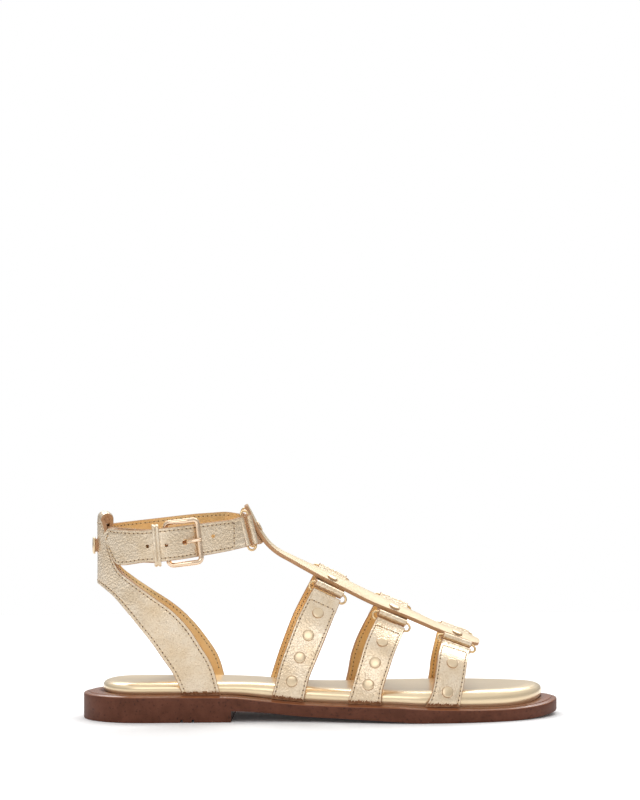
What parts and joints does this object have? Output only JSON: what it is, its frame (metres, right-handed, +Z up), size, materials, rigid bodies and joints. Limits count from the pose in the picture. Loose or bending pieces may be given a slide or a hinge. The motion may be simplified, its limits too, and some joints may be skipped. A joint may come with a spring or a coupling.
{
  "type": "gladiator sandal",
  "caption": "Flat strappy sandal for a right foot: T-strap with side straps on wire rings, heel strap and buckled ankle strap, padded footbed and low-heeled moulded sole.",
  "frame": {"origin": "on the floor under the middle of the sole's bounding box", "axes": "+X to the toe along the sole, +Y to the medial side of this right shoe, +Z up"},
  "size_m": [0.25, 0.0874, 0.1116],
  "materials": {
    "brown_sole": "moulded leatherboard look, satin",
    "footbed_leather": "smooth champagne gold, metallic",
    "gold_leather": "tumbled grain champagne gold, metallic",
    "gold_metal": "polished pale gold plate"
  },
  "bodies": {
    "root": {"outsole": "brown_sole", "footbed": "footbed_leather", "instep_strap": "gold_leather", "heel_strap": "gold_leather", "ankle_strap_holed": "gold_leather", "ankle_strap_plain": "gold_leather", "buckle_frame": "gold_metal", "buckle_tongue": "gold_metal", "strap_keeper": "gold_leather", "side_strap_lateral_1": "gold_leather", "stud_lateral_1_1": "gold_metal", "stud_lateral_1_2": "gold_metal", "stud_lateral_1_3": "gold_metal", "stud_lateral_1_4": "gold_metal", "side_strap_lateral_2": "gold_leather", "stud_lateral_2_1": "gold_metal", "stud_lateral_2_2": "gold_metal", "stud_lateral_2_3": "gold_metal", "side_strap_lateral_3": "gold_leather", "stud_lateral_3_1": "gold_metal", "stud_lateral_3_2": "gold_metal", "ring_lateral_1": "gold_metal", "ring_lateral_2": "gold_metal", "ring_lateral_3": "gold_metal", "ring_lateral_ankle": "gold_metal", "side_strap_medial_1": "gold_leather", "stud_medial_1_1": "gold_metal", "stud_medial_1_2": "gold_metal", "stud_medial_1_3": "gold_metal", "stud_medial_1_4": "gold_metal", "side_strap_medial_2": "gold_leather", "stud_medial_2_1": "gold_metal", "stud_medial_2_2": "gold_metal", "stud_medial_2_3": "gold_metal", "side_strap_medial_3": "gold_leather", "stud_medial_3_1": "gold_metal", "stud_medial_3_2": "gold_metal", "ring_medial_1": "gold_metal", "ring_medial_2": "gold_metal", "ring_medial_3": "gold_metal", "ring_medial_ankle": "gold_metal", "stud_tab_1": "gold_metal", "stud_tab_2": "gold_metal", "stud_tab_3": "gold_metal", "stud_tab_ankle": "gold_metal", "stud_rear": "gold_metal"}
  },
  "joints": []
}
